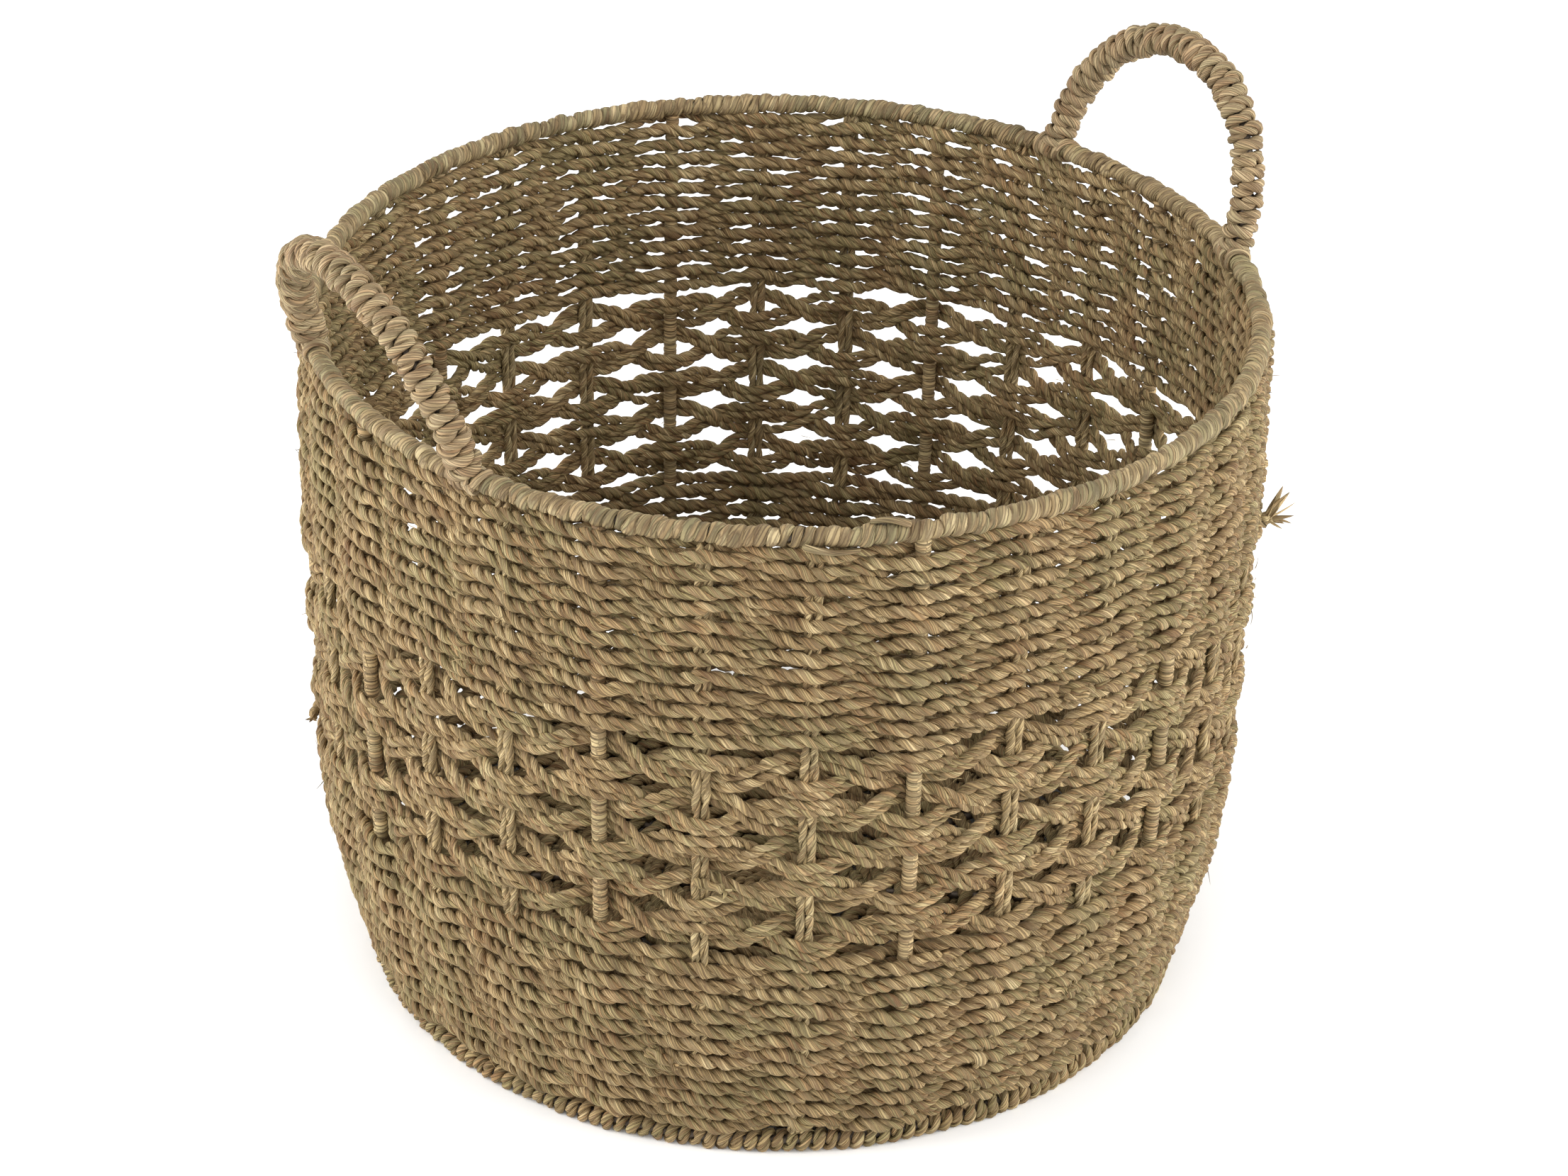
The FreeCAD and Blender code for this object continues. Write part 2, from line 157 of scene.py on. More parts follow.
def lengths(path, closed):
    """Distance along a path at each point, and the whole length."""
    after = np.roll(path, -1, 0) if closed else np.vstack([path[1:], path[-1:]])
    steps = np.linalg.norm(after - path, axis=1)
    return np.concatenate([[0], np.cumsum(steps)[:-1]]), steps.sum()


def local_frame(path, outward, closed):
    """Directions across the strand: out, and sideways. Sideways is out x along."""
    if closed:
        along = np.roll(path, -1, 0) - np.roll(path, 1, 0)
    else:
        along = np.gradient(path, axis=0)
    along = unit(along)
    side = unit(np.cross(outward, along))
    return np.cross(along, side), side


def skin(path, outward, section_out, section_side, closed, grain, tone):
    """Mesh of a strand from its path and the outline of its section at each point, with its faces
    turned outward. Open ends come to a point."""
    out, side = local_frame(path, outward, closed)
    if not closed:
        section_out[[0, -1]] = 0
        section_side[[0, -1]] = 0
    count, sides = section_out.shape
    verts = path[:, None] + section_out[..., None] * out[:, None]
    verts = verts + section_side[..., None] * side[:, None]
    first = np.arange(count if closed else count - 1)[:, None] * sides
    after = (first + sides) % (count * sides)
    here = np.arange(sides)[None]
    there = (here + 1) % sides
    quads = np.stack([first + here, after + here, after + there, first + there], -1)
    return verts.reshape(-1, 3), quads.reshape(-1, 4), grain.reshape(-1, 3), tone.reshape(-1)


def strand(path, outward, half_out, half_side, closed, sides=None, lean=0.0, tone=None):
    """One strand of oval section. half_out and half_side may change along it. lean twists its grain."""
    sides = sides or SIDES
    count = len(path)
    distance, _ = lengths(path, closed)
    around = np.linspace(0, 2 * np.pi, sides, endpoint=False)[None]
    half_out = np.broadcast_to(half_out, count)[:, None]
    half_side = np.broadcast_to(half_side, count)[:, None]
    turn = around + lean * distance[:, None]
    size = 0.5 * (half_out + half_side)
    start = random.uniform(0, 1, 3)
    grain = np.stack([size * np.cos(turn) + start[0], size * np.sin(turn) + start[1],
                      distance[:, None] + start[2] + 0 * turn], -1)
    if tone is None:
        tone = random.uniform(0.1, 0.9) + wander(count, max(2, int(distance[-1] / (40 * MM))), 0.12)
    tones = np.broadcast_to(tone[:, None], (count, sides))
    return skin(path, outward, half_out * np.cos(around), half_side * np.sin(around), closed, grain, tones)


def rope(path, outward, diameter, closed, height=1.0, depth=1.0, pitch=TWIST, hand=-1, sides=None):
    """Two twisted plies. height and depth squeeze the rope along and across the wall."""
    sides = sides or SIDES
    count = len(path)
    distance, total = lengths(path, closed)
    turns = max(1, round(total / pitch))
    phase = hand * 2 * np.pi * turns * distance / total + random.uniform(0, 2 * np.pi)
    phase = phase + wander(count, max(2, int(total / (24 * MM))), 0.5)
    around = np.linspace(0, 2 * np.pi, sides, endpoint=False)[None]
    height = np.broadcast_to(height, count)[:, None]
    depth = np.broadcast_to(depth, count)[:, None]
    plies = []
    for ply in range(2):
        turn = (phase + ply * np.pi)[:, None]
        swell = 1 + wander(count, max(2, int(total / (8 * MM))), 0.13)[:, None]
        tall = PLY_TALL * diameter * swell
        wide = PLY_WIDE * diameter * swell
        r = PLY_REACH * diameter + tall * np.cos(around)
        t = wide * np.sin(around)
        out = (r * np.cos(turn) - t * np.sin(turn)) * depth
        side = (r * np.sin(turn) + t * np.cos(turn)) * height
        start = random.uniform(0, 1, 3)
        curl = around - hand * 0.25 * distance[:, None] / (0.3 * diameter)
        size = 0.33 * diameter
        grain = np.stack([size * np.cos(curl) + start[0], size * np.sin(curl) + start[1],
                          distance[:, None] + start[2] + 0 * curl], -1)
        tone = random.uniform(0.35, 0.65) + wander(count, max(2, int(total / (9 * MM))), 0.16)
        tones = np.broadcast_to(tone[:, None], (count, sides))
        plies.append(skin(path, outward, out, side, closed, grain, tones))
    return plies


def wound(core, length, radius, lead, closed):
    """Points along a core and the directions off it in which a strand wound round it lies.

    core gives the points and two directions across it. radius only sets how many points there are.
    """
    turns = max(1, round(length / lead))
    strand_length = turns * math.hypot(2 * np.pi * radius, length / turns)
    count = int(strand_length / STEP * 1.2)
    s = np.linspace(0, length, count, endpoint=not closed)
    points, a, b = core(s)
    turn = 2 * np.pi * (turns * s / length)
    return points, a * np.cos(turn)[:, None] + b * np.sin(turn)[:, None]


def piece(name, strands, material, slot, *nodes):
    """One object made of many strands, standing for the CAD nodes and resting on z = 0."""
    verts, quads, grain, tone = [], [], [], []
    total = 0
    for v, q, g, t in strands:
        verts.append(v)
        quads.append(q + total)
        grain.append(g)
        tone.append(t)
        total += len(v)
    verts, quads = np.vstack(verts), np.vstack(quads)
    verts[:, 2] = np.maximum(verts[:, 2], 0.0)
    mesh = bpy.data.meshes.new(name)
    mesh.vertices.add(len(verts))
    mesh.vertices.foreach_set("co", verts.astype(np.float32).ravel())
    mesh.loops.add(quads.size)
    mesh.loops.foreach_set("vertex_index", quads.astype(np.int32).ravel())
    mesh.polygons.add(len(quads))
    mesh.polygons.foreach_set("loop_start", np.arange(0, quads.size, 4, dtype=np.int32))
    mesh.polygons.foreach_set("use_smooth", np.ones(len(quads), bool))
    mesh.update(calc_edges=True)
    attribute = mesh.attributes.new("grain", "FLOAT_VECTOR", "POINT")
    attribute.data.foreach_set("vector", np.vstack(grain).astype(np.float32).ravel())
    attribute = mesh.attributes.new("tone", "FLOAT", "POINT")
    attribute.data.foreach_set("value", np.concatenate(tone).astype(np.float32))
    mesh.materials.append(material)
    made = bpy.data.objects.new(name, mesh)
    bpy.context.scene.collection.objects.link(made)
    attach(made, "root")
    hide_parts(*nodes)
    return made


# Materials

def srgb(r, g, b):
    """Linear colour from an 8-bit screen colour."""
    def one(c):
        c = c / 255
        return c / 12.92 if c <= 0.04045 else ((c + 0.055) / 1.055) ** 2.4
    return one(r), one(g), one(b), 1.0


class Nodes:
    """Short ways to build a node tree."""

    def __init__(self, name):
        self.material = bpy.data.materials.new(name)
        self.material.use_nodes = True
        self.tree = self.material.node_tree
        self.shader = self.tree.nodes["Principled BSDF"]

    def link(self, source, target):
        if isinstance(source, (int, float, tuple)):
            target.default_value = source
        else:
            self.tree.links.new(source, target)

    def new(self, kind, **settings):
        node = self.tree.nodes.new("ShaderNode" + kind)
        for key, value in settings.items():
            setattr(node, key, value)
        return node

    def attribute(self, name, output="Vector"):
        return self.new("Attribute", attribute_name=name).outputs[output]

    def scaled(self, vector, factors):
        node = self.new("VectorMath", operation="MULTIPLY")
        self.link(vector, node.inputs[0])
        node.inputs[1].default_value = factors
        return node.outputs[0]

    def noise(self, vector, scale, detail=2.0):
        node = self.new("TexNoise")
        self.link(vector, node.inputs["Vector"])
        node.inputs["Scale"].default_value = scale
        node.inputs["Detail"].default_value = detail
        return node.outputs["Fac"]

    def strips(self, vector):
        """Two random values for each leaf strip, and 0 to 1 away from the creases between strips."""
        cells = self.new("TexVoronoi", voronoi_dimensions="3D", feature="F1")
        creases = self.new("TexVoronoi", voronoi_dimensions="3D", feature="DISTANCE_TO_EDGE")
        split = self.new("SeparateColor")
        for node in (cells, creases):
            self.link(vector, node.inputs["Vector"])
            node.inputs["Scale"].default_value = 1.0
        self.link(cells.outputs["Color"], split.inputs["Color"])
        open_face = self.ramp(creases.outputs["Distance"], 0.0, 0.2)
        return split.outputs["Red"], split.outputs["Green"], open_face

    def ramp(self, value, low, high):
        node = self.new("MapRange", interpolation_type="SMOOTHSTEP")
        self.link(value, node.inputs["Value"])
        node.inputs["From Min"].default_value = low
        node.inputs["From Max"].default_value = high
        return node.outputs["Result"]

    def maths(self, operation, a, b):
        node = self.new("Math", operation=operation)
        self.link(a, node.inputs[0])
        self.link(b, node.inputs[1])
        return node.outputs[0]

    def mix(self, factor, a, b):
        node = self.new("Mix", data_type="RGBA")
        self.link(factor, node.inputs["Factor"])
        self.link(a, node.inputs["A"])
        self.link(b, node.inputs["B"])
        return node.outputs["Result"]

    def bump(self, height, distance, strength):
        node = self.new("Bump")
        node.inputs["Distance"].default_value = distance
        node.inputs["Strength"].default_value = strength
        self.link(height, node.inputs["Height"])
        self.link(node.outputs["Normal"], self.shader.inputs["Normal"])


def seagrass(name, dark, mid, pale, green, red, green_share=0.5, red_share=0.5):
    """Dry grass: leaf strips of different tones with painted shade in the creases between them, and fine
    streaks along them.
    """
    n = Nodes(name)
    grain = n.attribute("grain")
    tone = n.attribute("tone", "Fac")
    place = n.new("TexCoord").outputs["Object"]
    streak = n.noise(n.scaled(grain, STREAKS), 1.0, 3.0)
    lot, hue, open_face = n.strips(n.scaled(grain, LEAF_STRIPS))
    lightness = n.maths("ADD", n.maths("MULTIPLY", streak, 0.5), n.maths("MULTIPLY", tone, 0.4))
    lightness = n.maths("ADD", lightness, n.maths("MULTIPLY", lot, 0.22))
    colour = n.mix(n.ramp(lightness, 0.30, 0.62), dark, mid)
    colour = n.mix(n.ramp(lightness, 0.56, 0.88), colour, pale)
    greenness = n.maths("ADD", n.noise(place, 38, 1.0), n.maths("MULTIPLY", hue, 0.4))
    greenish = n.ramp(greenness, 0.62, 0.95)
    colour = n.mix(n.maths("MULTIPLY", greenish, green_share), colour, green)
    redness = n.maths("SUBTRACT", n.noise(place, 55, 2.0), n.maths("MULTIPLY", hue, 0.35))
    reddish = n.ramp(redness, 0.36, 0.58)
    colour = n.mix(n.maths("MULTIPLY", reddish, red_share), colour, red)
    # Painted shade: the creases between leaf strips are darkened halfway towards a dark shade colour.
    colour = n.mix(n.maths("ADD", n.maths("MULTIPLY", open_face, 0.5), 0.5), PAINTED_CREASE_SHADE, colour)
    n.link(colour, n.shader.inputs["Base Color"])
    n.link(n.maths("ADD", n.maths("MULTIPLY", streak, 0.25), 0.58), n.shader.inputs["Roughness"])
    n.shader.inputs["Specular IOR Level"].default_value = 0.3
    n.bump(n.maths("ADD", n.maths("MULTIPLY", streak, 0.6), open_face), 0.35 * MM, 1.0)
    return n.material


def iron():
    n = Nodes("iron_wire")
    place = n.new("TexCoord").outputs["Object"]
    spots = n.noise(place, 900, 4.0)
    n.link(n.mix(spots, srgb(62, 58, 54), srgb(120, 106, 92)), n.shader.inputs["Base Color"])
    n.shader.inputs["Metallic"].default_value = 0.8
    n.link(n.maths("ADD", n.maths("MULTIPLY", spots, 0.3), 0.4), n.shader.inputs["Roughness"])
    n.bump(spots, 0.05 * MM, 0.4)
    return n.material


# Painted shade colour, mixed into the creases between leaf strips.
PAINTED_CREASE_SHADE = srgb(68, 48, 36)
ROPE_GRASS = seagrass("seagrass_rope", srgb(117, 91, 58), srgb(167, 141, 98), srgb(210, 187, 141),
                      srgb(136, 131, 87), srgb(152, 107, 68), 0.5, 0.3)
RING_GRASS = seagrass("ring_wrap", srgb(108, 90, 61), srgb(155, 134, 96), srgb(197, 177, 135),
                      srgb(130, 127, 92), srgb(138, 104, 71), 0.5, 0.25)
STRIP_GRASS = seagrass("upright_wrap", srgb(146, 120, 84), srgb(182, 156, 112), srgb(212, 190, 144),
                       srgb(156, 148, 108), srgb(160, 118, 80), 0.4, 0.3)
CORD_GRASS = seagrass("fibre_cord", srgb(134, 114, 78), srgb(178, 154, 110), srgb(212, 190, 144),
                      srgb(146, 138, 102), srgb(156, 116, 78), 0.35, 0.35)
HANDLE_GRASS = seagrass("handle_wrap", srgb(132, 107, 76), srgb(176, 151, 113), srgb(208, 188, 150),
                        srgb(148, 142, 106), srgb(158, 118, 84), 0.4, 0.3)
IRON = iron()


# Plain weave of the wall

def near_wire(u):
    """1 at a wire upright, 0 away from it. u is the angle counted in uprights."""
    away = np.abs((u + WIRE_STEP / 2) % WIRE_STEP - WIRE_STEP / 2)
    return np.exp(-(away / 0.35) ** 2)


def ring_samples(radius):
    """Angles round a ring, and the same counted in uprights."""
    count = int(2 * np.pi * radius / STEP)
    angle = np.linspace(0, 2 * np.pi, count, endpoint=False)
    return angle, angle * UPRIGHTS / (2 * np.pi)


def plain_row(z, first_side, diameter, sway):
    """One turn of rope, over one upright and under the next."""
    angle, u = ring_samples(RIM_RADIUS)
    between = np.sin(np.pi * u) ** 2
    height = z + sway + wander(len(u), 70, 0.5 * MM)
    over = (2.7 + 1.2 * near_wire(u)) * MM + wander(len(u), 45, 0.35 * MM)
    offset = first_side * np.cos(np.pi * u) * over
    path, outward = on_wall(angle, height, offset)
    return rope(path, outward, diameter, True, height=1.0 - 0.28 * between, depth=0.78 + 0.22 * between)


def plain_band(node, diameter, more_above, more_below):
    """Plain weave from the node's top to its bottom, stretched by a little at each."""
    low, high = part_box(node)
    top = high.z - CAD_ROPE / 2 + more_above
    heights = np.linspace(top, low.z + CAD_ROPE / 2 - more_below, PLAIN_ROWS)
    count = len(ring_samples(RIM_RADIUS)[0])
    sway = wander(count, 30, 0.8 * MM)
    strands = []
    for i, z in enumerate(heights):
        sway = 0.9 * sway + wander(count, 45, 0.3 * MM)
        strands += plain_row(z, 1 if i % 2 == 0 else -1, diameter, sway)
        if (i + 1) % ROWS_PER_PIECE == 0:
            piece(f"{node}_{(i + 1) // ROWS_PER_PIECE}", strands, ROPE_GRASS, "seagrass_rope", node)
            strands = []


plain_band("upper_weave_ropes", PLAIN_ROPE, 0.9 * MM, 3.3 * MM)
plain_band("lower_weave_ropes", LOWER_ROPE, -1.5 * MM, 0.0)


# Open band

def lattice_rope(middle, climb, level, side, lift):
    """A rope that passes every upright on one side, 1 outside or -1 inside, and zigzags between levels."""
    angle, u = ring_samples(RIM_RADIUS)
    count = len(u)
    wave = side * -np.cos(np.pi * (u + level))
    zigzag = wave * (1.3 - 0.3 * wave ** 2)
    height = middle + lift * (1 + wander(count, 40, 0.12)) + climb * zigzag + wander(count, 50, 0.55 * MM)
    at_upright = np.cos(np.pi * u) ** 2
    over = (3.2 + 1.0 * near_wire(u)) * MM + wander(count, 45, 0.35 * MM)
    dip = 1.4 * MM
    offset = side * (over * at_upright - dip * (1 - at_upright))
    path, outward = on_wall(angle, height, offset)
    return rope(path, outward, LATTICE_ROPE, True, height=1.0, depth=0.85)


def lattice(node, side):
    low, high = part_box(node)
    levels = np.linspace(high.z - 0.2 * MM, low.z - 4.2 * MM, LATTICE_LEVELS)
    climb = 0.5 * (levels[0] - levels[1]) - 4.2 * MM
    strands = []
    for level in range(LATTICE_LEVELS - 1):
        middle = 0.5 * (levels[level] + levels[level + 1])
        for lift in (-0.5, 0.5):
            strands += lattice_rope(middle, climb, level, side, lift * STRAND_PITCH)
        if level in (2, 4):
            piece(f"{node}_{level // 2}", strands, ROPE_GRASS, "seagrass_rope", node)
            strands = []


lattice("lattice_outer_strands", 1)
lattice("lattice_inner_strands", -1)


# Uprights

def upright_heights(node):
    """The uprights run on a little way into the rim's wrap."""
    low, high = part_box(node)
    return low.z, high.z + 2.5 * MM


def upright_path(angle, sideways, bottom, top, step):
    z = np.arange(bottom, top, step)
    path, outward = on_wall(np.full(len(z), angle), z, np.zeros(len(z)))
    across = np.array([-math.sin(angle), math.cos(angle), 0.0])
    return path + sideways * across, outward


def cord_uprights():
    bottom, top = upright_heights("cord_uprights")
    strands = []
    for u in range(UPRIGHTS):
        if u % WIRE_STEP == 0:
            continue
        for sideways in (-0.5, 0.5):
            angle = 2 * np.pi * u / UPRIGHTS
            path, outward = upright_path(angle, sideways * 0.85 * CORD, bottom, top, 1.3 * STEP)
            path = path + 0.7 * MM * outward
            strands += rope(path, outward, CORD, False, pitch=CORD_TWIST, sides=5)
    piece("cord_uprights_twisted", strands, CORD_GRASS, "fibre_cord", "cord_uprights")


def wrapped_uprights():
    """Flat strip wound round each wire: each turn stands proud at its lower edge."""
    bottom, top = upright_heights("upright_wire_wraps")
    strands = []
    sides = 12
    around = np.linspace(0, 2 * np.pi, sides, endpoint=False)[None]
    for u in range(0, UPRIGHTS, WIRE_STEP):
        path, outward = upright_path(2 * np.pi * u / UPRIGHTS, 0.0, bottom, top, 0.6 * MM)
        distance = lengths(path, False)[0][:, None] + 0 * around
        turn = distance // STRIP_WIDTH
        lap = (distance / STRIP_WIDTH + around / (2 * np.pi) + wander(len(path), 40, 0.1)[:, None]) % 1
        radius = STRIP_RADIUS + STRIP_LAP * lap
        grain = np.stack([distance % STRIP_WIDTH, turn, around * 2.9 * MM + u + 0 * distance], -1)
        tone = random.uniform(0.3, 0.7) + 0.25 * np.sin(7.3 * turn + u)
        section = radius * np.cos(around), radius * np.sin(around)
        strands.append(skin(path, outward, *section, False, grain, tone))
    piece("upright_strips", strands, STRIP_GRASS, "upright_wrap", "upright_wire_wraps")


cord_uprights()
wrapped_uprights()


# Rim, base ring and handles

def ring_core(radius, height):
    def core(s):
        angle = s / radius
        out = np.stack([np.cos(angle), np.sin(angle), 0 * angle], 1)
        up = np.broadcast_to([0.0, 0.0, 1.0], out.shape)
        return radius * out + height * up, out, up
    return core


def rim_wrap():
    """Soft broad strands wound side by side, with a groove between turns."""
    length = 2 * np.pi * RIM_RADIUS
    points, outward = wound(ring_core(RIM_RADIUS, RIM_HEIGHT), length, 2.9 * MM, RIM_LEAD, True)
    count = len(points)
    path = points + outward * (RIM_WINDING * (1 + wander(count, 500, 0.1)))[:, None]
    swell = 1 + wander(count, 600, 0.18)
    tone = 0.5 + wander(count, 120, 0.12) + wander(count, 600, 0.18)
    turns = strand(path, outward, 1.5 * MM * swell, 2.7 * MM * swell, True, 9, 130.0, tone)
    piece("rim_wound_strands", [turns], RING_GRASS, "ring_wrap", "rim_wrap")


def base_wrap():
    """A coarse two-ply cord wound round the base ring."""
    length = 2 * np.pi * BASE_RADIUS
    points, outward = wound(ring_core(BASE_RADIUS, BASE_HEIGHT), length, BASE_WINDING, BASE_LEAD, True)
    path = points + outward * (BASE_WINDING * (1 + wander(len(points), 300, 0.08)))[:, None]
    strands = rope(path, outward, BASE_CORD, True, depth=0.85, sides=6)
    piece("base_wound_cord", strands, ROPE_GRASS, "ring_wrap", "base_ring_wrap")


def rim_tail():
    """Two ends of the rim's strand: one lies along the top of the rim, one along its underside.

    Each has its first and last angle round the rim, its angle round the rim's wire and its reach from it.
    """
    strands = []
    ends = ((-114.0, -109.5, 90.0, 4.6 * MM), (-121.5, -115.0, -40.0, 5.2 * MM))
    for first, last, lift, reach in ends:
        t = np.linspace(0, 1, 26)
        turn = np.radians(first + (last - first) * t)
        around = np.radians(lift + 25 * (1 - 2 * t))
        out = np.stack([np.cos(turn), np.sin(turn), 0 * turn], 1)
        normal = np.cos(around)[:, None] * out + np.sin(around)[:, None] * np.array([0.0, 0.0, 1.0])
        lift_off = reach + 1.2 * MM * np.sin(np.pi * t)
        path = RIM_RADIUS * out + np.array([0, 0, RIM_HEIGHT]) + normal * lift_off[:, None]
        strands.append(strand(path, normal, 1.0 * MM, 1.8 * MM, False, 8, 60.0))
    piece("rim_tail_strands", strands, RING_GRASS, "ring_wrap", "rim_wrap")


rim_wrap()
rim_tail()
base_wrap()


def handle_core(node, outward_sign):
    """The arch's centreline, read off its wire: two legs and a half circle in a plane that leans out."""
    low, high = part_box(node)
    wire = HANDLE_WIRE / 2
    half_span = high.y - wire
    far = high.x - wire if outward_sign > 0 else low.x + wire
    foot = np.array([outward_sign * math.sqrt(RIM_RADIUS ** 2 - half_span ** 2), 0.0, RIM_HEIGHT])
    top = np.array([far, 0.0, high.z - wire])
    up = unit(top - foot)
    leg = np.linalg.norm(top - foot) - half_span
    across = np.array([0.0, 1.0, 0.0])
    face = np.cross(across, up)
    arc = np.pi * half_span

    def core(s):
        turn = np.clip((s - leg) / half_span, 0, np.pi)
        below = np.where(s < leg, leg - s, np.maximum(s - leg - arc, 0.0))
        spoke = -np.cos(turn)[:, None] * across + np.sin(turn)[:, None] * up
        points = foot + up * leg + half_span * spoke - below[:, None] * up
        return points, spoke, np.broadcast_to(face, spoke.shape)
    return core, 2 * leg + arc


def handle(side, outward_sign):
    """A two-ply cord wound close round the arch, and strands wound round the rim at its feet."""
    core, length = handle_core(side + "_handle_wire", outward_sign)
    points, outward = wound(core, length, HANDLE_WINDING, HANDLE_LEAD, False)
    path = points + outward * (HANDLE_WINDING * (1 + wander(len(points), 120, 0.08)))[:, None]
    strands = rope(path, outward, HANDLE_CORD, False, pitch=HANDLE_TWIST, depth=0.85)
    piece(side + "_handle_wound_cord", strands, HANDLE_GRASS, "handle_wrap", side + "_handle_wrap")
    strands = []
    for foot_s in (0.0, length):
        foot = core(np.array([foot_s]))[0][0]
        foot_angle = math.atan2(foot[1], foot[0])
        for i in range(LASHING_LOOPS):
            strands.append(lashing(foot_angle + (i - (LASHING_LOOPS - 1) / 2) * LASHING_PITCH / RIM_RADIUS))
    piece(side + "_lashing_strands", strands, HANDLE_GRASS, "handle_wrap", side + "_handle_lashings")


def lashing(angle):
    """One strand looped round the rim, a little askew."""
    turn = np.linspace(0, 2 * np.pi, 36, endpoint=False)
    reach = random.uniform(4.4, 5.0) * MM + wander(len(turn), 3, 0.25 * MM)
    askew = random.uniform(-3.5, 3.5) * MM / RIM_RADIUS
    swing = angle + askew * np.sin(turn + random.uniform(0, 2 * np.pi))
    radius = RIM_RADIUS + reach * np.cos(turn)
    path = np.stack([radius * np.cos(swing), radius * np.sin(swing), RIM_HEIGHT + reach * np.sin(turn)], 1)
    outward = np.stack([np.cos(turn) * math.cos(angle), np.cos(turn) * math.sin(angle), np.sin(turn)], 1)
    return strand(path, outward, 1.2 * MM, 1.7 * MM, True, 7, 130.0)


handle("right", 1)
handle("left", -1)


# Floor

def floor_row(radius, spokes, first_side, level):
    count = int(2 * np.pi * radius / (1.4 * STEP))
    angle = np.linspace(0, 2 * np.pi, count, endpoint=False)
    lift = first_side * np.cos(angle * spokes / 2) * 3.0 * MM
    path = np.stack([radius * np.cos(angle), radius * np.sin(angle), level + lift], 1)
    outward = np.broadcast_to([0.0, 0.0, 1.0], path.shape)
    return rope(path, outward, LOWER_ROPE, True, height=0.95, depth=0.75)


def floor_rows(level, outer, inner):
    """Turns over and under the spokes. The outer ones also cross the cord spokes."""
    strands = []
    made = 0
    for i, radius in enumerate(np.linspace(outer, inner, FLOOR_ROWS)):
        spokes = UPRIGHTS if radius > SPLIT_RADIUS else UPRIGHTS // WIRE_STEP
        strands += floor_row(radius, spokes, 1 if i % 2 == 0 else -1, level)
        if i + 1 in (FLOOR_ROWS_OUTSIDE, FLOOR_ROWS):
            made += 1
            piece(f"base_weave_ropes_{made}", strands, ROPE_GRASS, "seagrass_rope", "base_weave_ropes")
            strands = []


def floor_coil(level, coil):
    """A spiral of rope, closed by one round turn."""
    turns = round((coil - 2 * MM) / COIL_PITCH)
    angle = np.linspace(0, 2 * np.pi * (turns + 1), (turns + 1) * 60)
    radius = 3 * MM + (coil - 2 * MM) * np.minimum(angle / (2 * np.pi * turns), 1)
    path = np.stack([radius * np.cos(angle), radius * np.sin(angle), level + 0 * angle], 1)
    strands = rope(path, np.broadcast_to([0.0, 0.0, 1.0], path.shape), 6.4 * MM, False)
    piece("base_centre_spiral", strands, ROPE_GRASS, "seagrass_rope", "base_centre_coil")


def floor_cords(level):
    """Pairs of cords under the floor's outer rows, between the wires."""
    strands = []
    for u in range(UPRIGHTS):
        if u % WIRE_STEP == 0:
            continue
        angle = 2 * np.pi * u / UPRIGHTS
        out = np.array([math.cos(angle), math.sin(angle), 0.0])
        across = np.array([-math.sin(angle), math.cos(angle), 0.0])
        r = np.arange(SPLIT_RADIUS, BASE_RADIUS - 4 * MM, 1.5 * STEP)
        for sideways in (-0.5, 0.5):
            path = r[:, None] * out + sideways * CORD * across + np.array([0, 0, level])
            outward = np.broadcast_to([0.0, 0.0, 1.0], path.shape)
            strands += rope(path, outward, CORD, False, hand=1, sides=5)
    piece("base_spoke_cords_twisted", strands, CORD_GRASS, "fibre_cord", "base_spoke_cords")


def floor():
    low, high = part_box("base_weave_ropes")
    level = (low.z + high.z) / 2
    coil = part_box("base_centre_coil")[1].x
    floor_rows(level, high.x - CAD_ROPE / 2, coil + 7.0 * MM)
    floor_coil(level, coil)
    floor_cords(level)


floor()


# Loose end and stray fibres

def stray(start, way, length, thick, curl):
    """A thin fibre that leaves along way and curls."""
    t = np.linspace(0, 1, 8)[:, None]
    bend = unit(random.normal(size=3)) * curl * length
    path = start + way * length * t + bend * t ** 2
    outward = np.broadcast_to(unit(np.cross(way, [0.3, 0.2, 0.9])), path.shape)
    width = thick * (1 - 0.8 * t[:, 0])
    return strand(path, outward, width, width, False, 4)


def blade(start, way, length, broad, thin, curl):
    """A flat length of leaf that leaves along way, curls and narrows."""
    t = np.linspace(0, 1, 10)[:, None]
    bend = unit(random.normal(size=3)) * curl * length
    path = start + way * length * t + bend * t ** 2
    outward = np.broadcast_to(unit(np.cross(way, unit(random.normal(size=3)))), path.shape)
    shape = np.sqrt(np.clip(1.02 - t[:, 0], 0, 1)) * (0.7 + 0.5 * np.sin(np.pi * t[:, 0]))
    return strand(path, outward, thin * shape, broad * shape, False, 6)


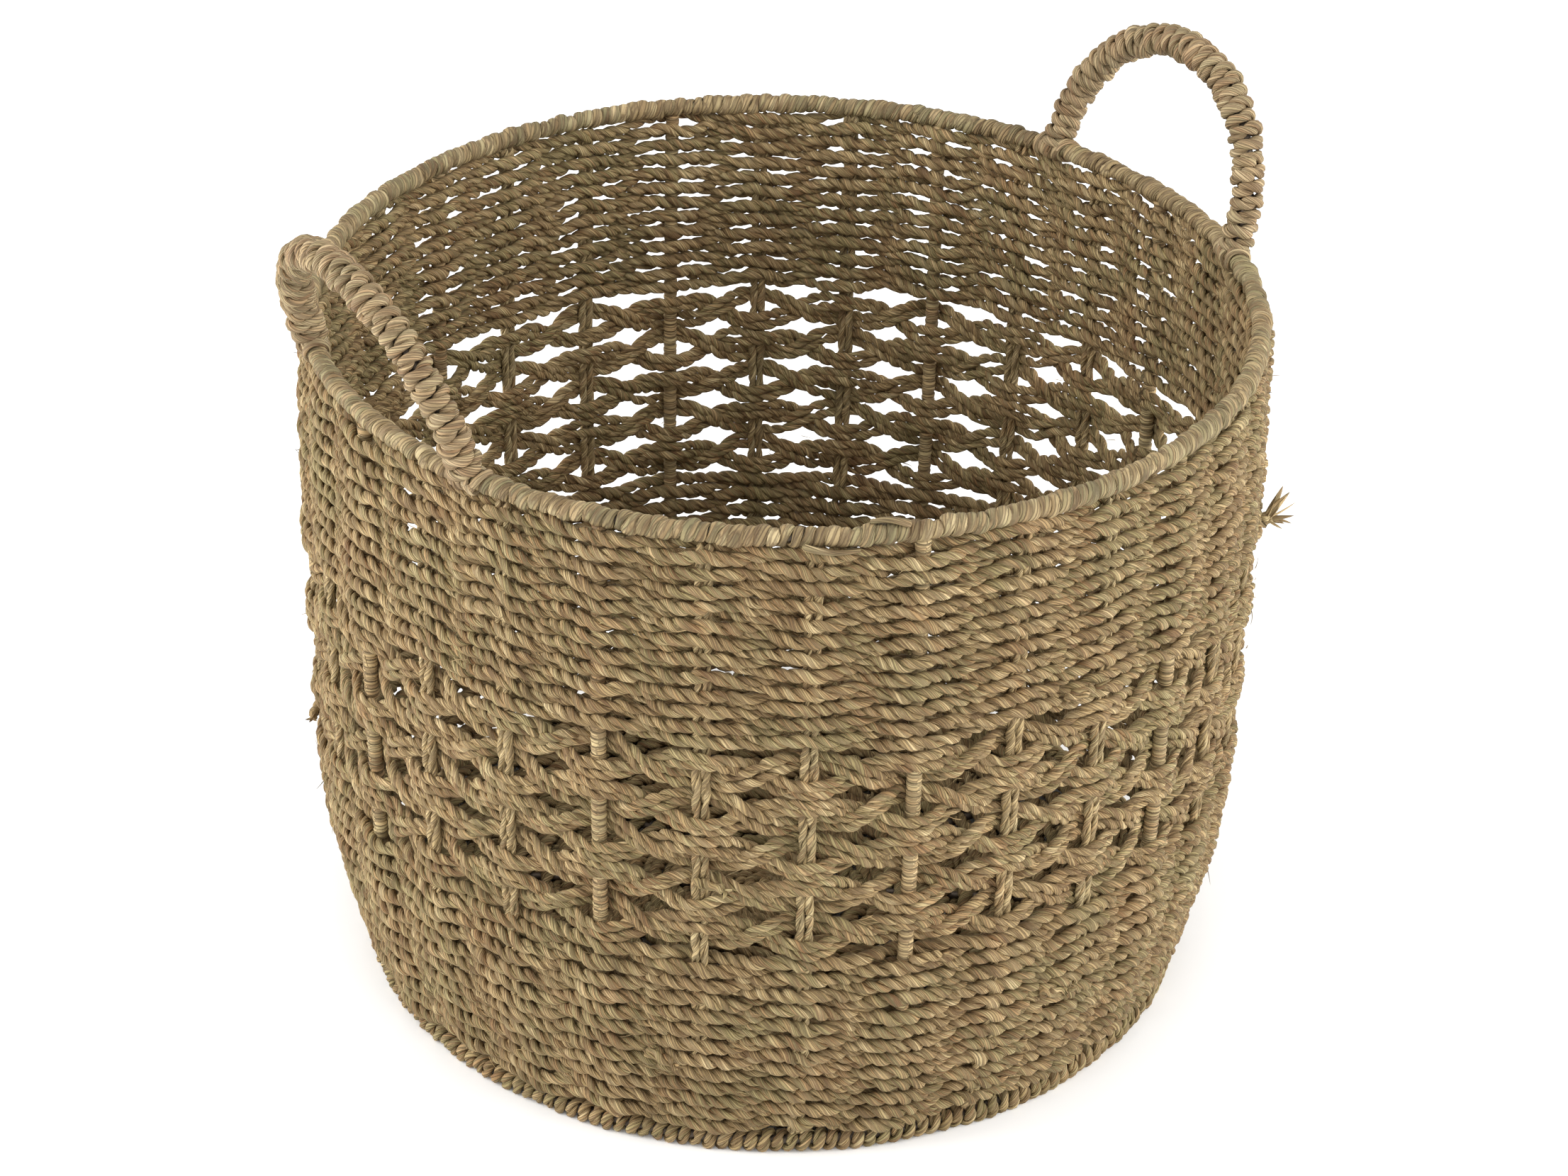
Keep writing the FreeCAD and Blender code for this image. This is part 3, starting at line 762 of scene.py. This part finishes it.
def loose_end():
    """A rope's end that leaves the wall and frays: broad strips go up, narrow ones lie lower.

    Each strip has its rise over its reach, its length and its half breadth.
    """
    low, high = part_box("loose_rope_end")
    middle = (low + high) / 2
    angle = math.atan2(middle.y, middle.x)
    out = np.array([math.cos(angle), math.sin(angle), 0.0])
    along = np.array([-math.sin(angle), math.cos(angle), 0.0])
    up = np.array([0.0, 0.0, 1.0])
    start = out * (wall_radius(np.array(middle.z)) + 2 * MM) + up * middle.z
    t = np.linspace(0, 1, 14)[:, None]
    path = start - along * 12 * MM * (1 - t) ** 2 + (out * 8 + up * 5) * MM * t ** 1.5
    strands = rope(path, np.broadcast_to(out, path.shape), 6.2 * MM, False)
    upper = ((2.4, 15, 2.4), (1.9, 16, 2.3), (3.0, 13, 2.0), (1.5, 15, 2.0), (2.1, 12, 2.4), (1.2, 14, 1.8))
    lower = ((0.3, 13, 0.9), (-0.1, 14, 1.0), (-0.5, 11, 1.1), (0.1, 11, 1.3), (-0.3, 10, 1.0))
    for rise, length, broad in upper + lower:
        way = unit(out + rise * up + random.uniform(-0.4, 0.4) * along)
        strands.append(blade(path[-4], way, length * MM, broad * MM, 0.5 * MM, 0.25))
    piece("loose_end_fibres", strands, STRIP_GRASS, "seagrass_rope", "loose_rope_end")


def stray_fibres():
    """Thin ends that stand off the wall, the rim and the handles."""
    strands = []
    for _ in range(STRAY_FIBRES):
        angle, z = random.uniform(0, 2 * np.pi), random.uniform(15 * MM, 300 * MM)
        side = 1 if random.random() < 0.75 else -1
        point, normal = on_wall(np.array([angle]), np.array([z]), np.array([side * 4.5 * MM]))
        around = np.array([-math.sin(angle), math.cos(angle), random.normal() * 0.5])
        way = unit(side * normal[0] * random.uniform(0.1, 0.5) + around * random.choice([-1, 1]))
        length = random.uniform(4, 11) * MM
        strands.append(stray(point[0], way, length, random.uniform(0.14, 0.3) * MM, 0.35))
    piece("stray_fibres", strands, ROPE_GRASS, "seagrass_rope")


def rope_stubs():
    """Short ends of weaving rope that lie along the wall, frayed at the tip."""
    strands = []
    for _ in range(ROPE_STUBS):
        angle, z = random.uniform(0, 2 * np.pi), random.uniform(30 * MM, 285 * MM)
        turn = angle + np.linspace(0, 13 * MM / RIM_RADIUS, 12)
        lift = np.linspace(3.2, 6.0, 12) * MM
        path, outward = on_wall(turn, z + np.linspace(0, random.uniform(-3, 3), 12) * MM, lift)
        strands += rope(path, outward, 4.6 * MM, False)
        around = np.array([-math.sin(angle), math.cos(angle), 0.0])
        for _ in range(4):
            way = unit(around + 0.5 * outward[-1] + 0.5 * random.normal(size=3))
            strands.append(blade(path[-1], way, random.uniform(3, 6) * MM, 0.9 * MM, 0.4 * MM, 0.3))
    piece("rope_stubs", strands, ROPE_GRASS, "seagrass_rope")


loose_end()
rope_stubs()
stray_fibres()

WIRES = ("rim_wire", "base_ring_wire", "upright_wires", "base_spoke_wires",
         "right_handle_wire", "left_handle_wire")
for node in WIRES:
    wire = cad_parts[node]
    wire.data.materials.clear()
    wire.data.materials.append(IRON)


# Studio

def softbox(name, place, size, energy):
    lamp = bpy.data.lights.new(name, "AREA")
    lamp.energy = energy
    lamp.size = size
    box = bpy.data.objects.new(name, lamp)
    box.location = place
    box.rotation_euler = (Vector((0, 0, 0.15)) - box.location).to_track_quat("-Z", "Y").to_euler()
    bpy.context.scene.collection.objects.link(box)


def studio():
    bpy.ops.mesh.primitive_plane_add(size=12.0)
    ground = bpy.context.object
    ground.name = "studio_floor"
    n = Nodes("studio_floor")
    n.shader.inputs["Base Color"].default_value = (0.96, 0.96, 0.955, 1.0)
    n.shader.inputs["Roughness"].default_value = 0.9
    ground.data.materials.append(n.material)
    world = bpy.data.worlds.new("studio")
    world.use_nodes = True
    world.node_tree.nodes["Background"].inputs["Color"].default_value = (1.0, 1.0, 1.0, 1.0)
    world.node_tree.nodes["Background"].inputs["Strength"].default_value = 1.0
    bpy.context.scene.world = world
    softbox("softbox_above", (-0.5, -0.8, 1.6), 1.4, 6)
    softbox("softbox_left", (-1.7, 0.7, 0.8), 1.2, 34)
    softbox("softbox_right", (1.2, -1.4, 0.8), 1.2, 30)
    bpy.context.scene.view_settings.view_transform = "Standard"


def camera():
    """Looks down on the basket from the side where the left handle leans away."""
    data = bpy.data.cameras.new("camera")
    data.lens = 91.2
    data.sensor_width = 36.0
    data.shift_x = 0.0035
    data.shift_y = 0.0155
    made = bpy.data.objects.new("camera", data)
    around, above, away = math.radians(-123.8), math.radians(31.3), 1.721
    back = Vector((math.cos(around) * math.cos(above), math.sin(around) * math.cos(above), math.sin(above)))
    made.matrix_world = (Matrix.Translation(Vector((0, 0, RIM_HEIGHT / 2)) + away * back)
                         @ back.to_track_quat("Z", "Y").to_matrix().to_4x4()
                         @ Matrix.Rotation(0.023, 4, "Z"))
    bpy.context.scene.collection.objects.link(made)
    bpy.context.scene.camera = made


studio()
camera()
